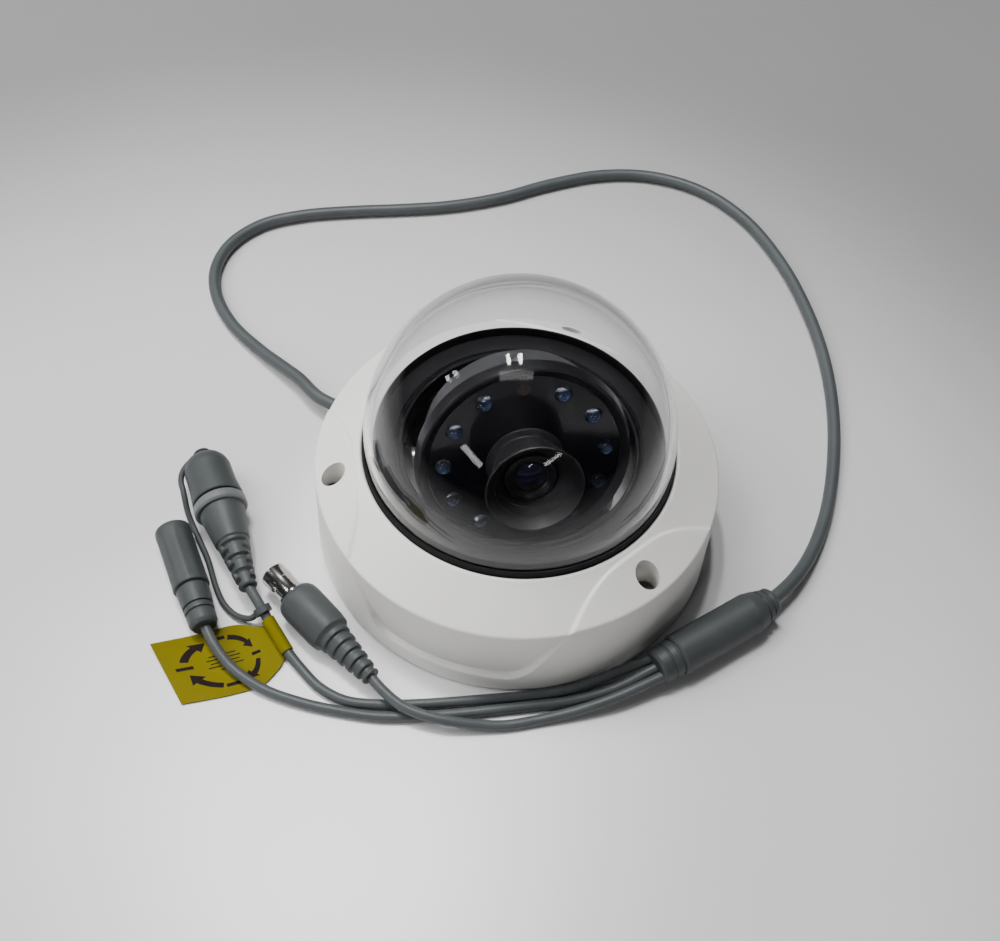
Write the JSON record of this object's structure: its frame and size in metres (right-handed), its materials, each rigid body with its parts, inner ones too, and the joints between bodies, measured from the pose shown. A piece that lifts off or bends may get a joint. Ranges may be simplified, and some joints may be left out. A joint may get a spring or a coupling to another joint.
{
  "type": "dome security camera",
  "caption": "Vandal-resistant dome camera with a clear dome, a screwed-down cover, a three-axis infrared lens module and a cable tail with video, power and format-switch ends.",
  "frame": {"origin": "centre of the base's underside, on the mounting surface", "axes": "+Z away from the mounting surface, through the top of the dome; +Y towards one of the three cover screws"},
  "size_m": [0.2765, 0.3146, 0.105],
  "materials": {
    "cover_paint": "die-cast aluminium under a satin white powder coat",
    "base_metal": "die-cast, bead blasted",
    "seal_rubber": "black silicone",
    "screw_steel": "zinc-plated, slightly worn",
    "dome_clear": "clear polycarbonate",
    "clamp_zinc": "plain cast",
    "liner_black": "satin black moulding",
    "mech_plastic": "moulded, fine grain",
    "bracket_steel": "pressed steel",
    "friction_fibre": "black fibre washer",
    "module_plastic": "dark grey moulding",
    "board_green": "solder mask",
    "lamp_clear": "clear epoxy lamp",
    "plate_gloss": "gloss black",
    "sensor_ceramic": "dark window over a light-sensitive cell",
    "hood_rubber": "soft black rubber",
    "barrel_black": "black anodised",
    "lens_glass": "coated glass",
    "filter_glass": "coated glass",
    "sensor_chip": "glass-lidded chip",
    "spacer_brass": "turned brass",
    "cable_jacket": "grey PVC jacket",
    "connector_grey": "grey moulded PVC",
    "collar_grey": "light grey moulding",
    "gland_rubber": "dark grey rubber",
    "nickel": "nickel plate",
    "insulator_white": "white insulator",
    "contact_gold": "gold flash",
    "tag_yellow": "glossy yellow film",
    "switch_black": "black plastic"
  },
  "bodies": {
    "root": {"base_housing": "base_metal", "top_cover": "cover_paint", "cover_seal": "seal_rubber", "cover_screws": "screw_steel", "clear_dome": "dome_clear", "dome_gasket": "seal_rubber", "dome_clamp_ring": "clamp_zinc", "clamp_ring_screws": "screw_steel", "inner_liner": "liner_black", "pan_base": "mech_plastic", "pan_base_screws": "screw_steel", "pan_retainer": "bracket_steel", "cable_gland": "gland_rubber", "inner_lead": "gland_rubber", "main_cable": "cable_jacket", "cable_splitter": "connector_grey", "switch_pigtail": "cable_jacket", "power_pigtail": "cable_jacket", "video_pigtail": "cable_jacket", "video_plug_body": "connector_grey", "video_barrel": "nickel", "video_insulator": "insulator_white", "video_contact": "contact_gold", "power_socket_body": "connector_grey", "power_socket_pin": "nickel", "switch_body": "connector_grey", "switch_collar": "collar_grey", "switch_unit": "switch_black", "tether_ring": "connector_grey", "label_tag": "tag_yellow", "cap_tether": "connector_grey"},
    "pan_carriage": {"pan_turntable": "mech_plastic", "yoke_bracket": "bracket_steel", "yoke_screws": "screw_steel", "pan_lock_screw": "screw_steel"},
    "tilt_carriage": {"tilt_cradle": "mech_plastic", "tilt_pivot_screws": "screw_steel", "friction_washers": "friction_fibre", "roll_lock_screw": "screw_steel"},
    "lens_module": {"module_shell": "module_plastic", "rear_cover": "module_plastic", "rear_cover_screws": "screw_steel", "lamp_board": "board_green", "infrared_lamps": "lamp_clear", "lamp_plate": "plate_gloss", "light_sensor": "sensor_ceramic", "lens_hood": "hood_rubber", "lens_holder": "mech_plastic", "lens_barrel": "barrel_black", "front_lens": "lens_glass", "infrared_filter": "filter_glass", "image_sensor": "sensor_chip", "sensor_board": "board_green", "processor_board": "board_green", "board_spacers": "spacer_brass"},
    "format_button": {"format_button": "switch_black"},
    "switch_cap": {"switch_cap": "connector_grey"}
  },
  "joints": [
    {"name": "pan", "type": "hinge", "parent": "root", "child": "pan_carriage", "pos_m": [0, 0, 0.0076], "axis": [0, 0, 1], "range_deg": [-177.5, 177.5]},
    {"name": "tilt", "type": "hinge", "parent": "pan_carriage", "child": "tilt_carriage", "pos_m": [0, 0, 0.044], "axis": [0.866, 0.5, 0], "range_deg": [-70, 5]},
    {"name": "roll", "type": "hinge", "parent": "tilt_carriage", "child": "lens_module", "pos_m": [0, 0, 0.044], "axis": [0.4698, -0.8138, 0.342], "range_deg": [-177.5, 177.5]},
    {"name": "cap_pull", "type": "slide", "parent": "root", "child": "switch_cap", "axis": [-0.6756, 0.7373, 0], "range_m": [0, 0.022], "deforming": ["cap_tether"]},
    {"name": "format_press", "type": "slide", "parent": "root", "child": "format_button", "axis": [0.6756, -0.7373, 0], "range_m": [0, 0.0008], "stiffness_N_per_m": 1500}
  ]
}
